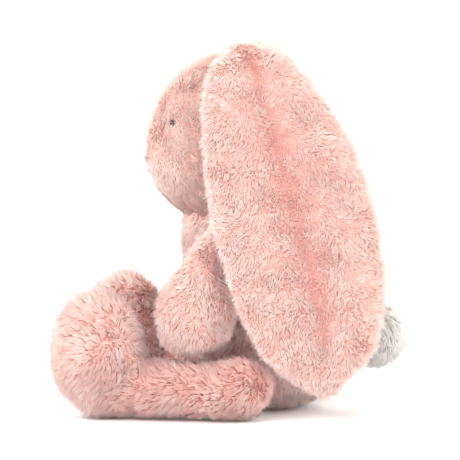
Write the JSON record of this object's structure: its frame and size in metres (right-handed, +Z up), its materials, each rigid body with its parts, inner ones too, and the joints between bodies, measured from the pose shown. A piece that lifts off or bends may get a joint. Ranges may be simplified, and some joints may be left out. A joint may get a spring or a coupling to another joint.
{
  "type": "stuffed bunny rabbit",
  "caption": "Seated plush rabbit in long pink fur with big hanging ears, soft arms, stretched-out legs and a pale pompom tail; head, ears, limbs and tail move at their seams",
  "frame": {"origin": "On the floor under the middle of the seated rabbit's bounding box", "axes": "+Z up, the rabbit faces -Y, +X is its left side"},
  "size_m": [0.1906, 0.2296, 0.2425],
  "materials": {
    "pink_fur": "long soft pile",
    "pale_fur": "long soft pile",
    "wadding": "loose polyester fibre",
    "cotton": "plain weave",
    "dark_thread": "satin stitch",
    "pink_thread": "twisted thread",
    "black_plastic": "polished",
    "white_plastic": "moulded"
  },
  "bodies": {
    "torso": {"torso_cover": "pink_fur", "torso_stuffing": "wadding", "seat_bead_pouch": "cotton", "arm_seam_thread_left": "pink_thread", "arm_seam_thread_right": "pink_thread", "leg_seam_thread_left": "pink_thread", "leg_seam_thread_right": "pink_thread"},
    "neck": {"neck_stuffing": "wadding", "neck_seam_thread": "pink_thread"},
    "head": {"head_cover": "pink_fur", "head_stuffing": "wadding", "eye_left": "black_plastic", "eye_right": "black_plastic", "eye_washer_left": "white_plastic", "eye_washer_right": "white_plastic", "nose_and_mouth_stitch": "dark_thread", "ear_seam_thread_left": "pink_thread", "ear_seam_thread_right": "pink_thread"},
    "ear_left": {"ear_outer_panel_left": "pink_fur", "ear_inner_panel_left": "pink_fur"},
    "ear_right": {"ear_outer_panel_right": "pink_fur", "ear_inner_panel_right": "pink_fur"},
    "arm_left": {"arm_cover_left": "pink_fur", "arm_stuffing_left": "wadding"},
    "arm_right": {"arm_cover_right": "pink_fur", "arm_stuffing_right": "wadding"},
    "leg_left": {"leg_cover_left": "pink_fur", "leg_stuffing_left": "wadding", "foot_sole_left": "pink_fur"},
    "leg_right": {"leg_cover_right": "pink_fur", "leg_stuffing_right": "wadding", "foot_sole_right": "pink_fur"},
    "tail": {"tail_cover": "pale_fur", "tail_stuffing": "wadding", "tail_seam_thread": "pink_thread"}
  },
  "joints": [
    {"name": "head_turn", "type": "hinge", "parent": "torso", "child": "neck", "pos_m": [0, -0.00047, 0.1185], "axis": [0, 0, 1], "range_deg": [-8, 8], "stiffness_Nm_per_rad": 0.4},
    {"name": "head_nod", "type": "hinge", "parent": "neck", "child": "head", "pos_m": [0, -0.00047, 0.1185], "axis": [1, 0, 0], "range_deg": [-6, 4], "stiffness_Nm_per_rad": 1},
    {"name": "ear_left_lift", "type": "hinge", "parent": "head", "child": "ear_left", "pos_m": [0.031, 0.00253, 0.2315], "axis": [0, -1, 0], "range_deg": [0, 80]},
    {"name": "ear_right_lift", "type": "hinge", "parent": "head", "child": "ear_right", "pos_m": [-0.031, 0.00253, 0.2315], "axis": [0, 1, 0], "range_deg": [0, 80]},
    {"name": "arm_left_swing", "type": "hinge", "parent": "torso", "child": "arm_left", "pos_m": [0.0408, -0.00147, 0.112], "axis": [0.866, 0.5, 0], "range_deg": [-42, 0]},
    {"name": "arm_right_swing", "type": "hinge", "parent": "torso", "child": "arm_right", "pos_m": [-0.0408, -0.00147, 0.112], "axis": [0.866, -0.5, 0], "range_deg": [-42, 0]},
    {"name": "leg_left_swing", "type": "hinge", "parent": "torso", "child": "leg_left", "pos_m": [0.0467, 0.01253, 0.023], "axis": [1, 0, 0], "range_deg": [0, 90]},
    {"name": "leg_right_swing", "type": "hinge", "parent": "torso", "child": "leg_right", "pos_m": [-0.0467, 0.01253, 0.023], "axis": [1, 0, 0], "range_deg": [0, 90]},
    {"name": "tail_wag", "type": "hinge", "parent": "torso", "child": "tail", "pos_m": [0, 0.0705, 0.0495], "axis": [0, 0, 1], "range_deg": [-6, 6], "stiffness_Nm_per_rad": 0.02}
  ]
}
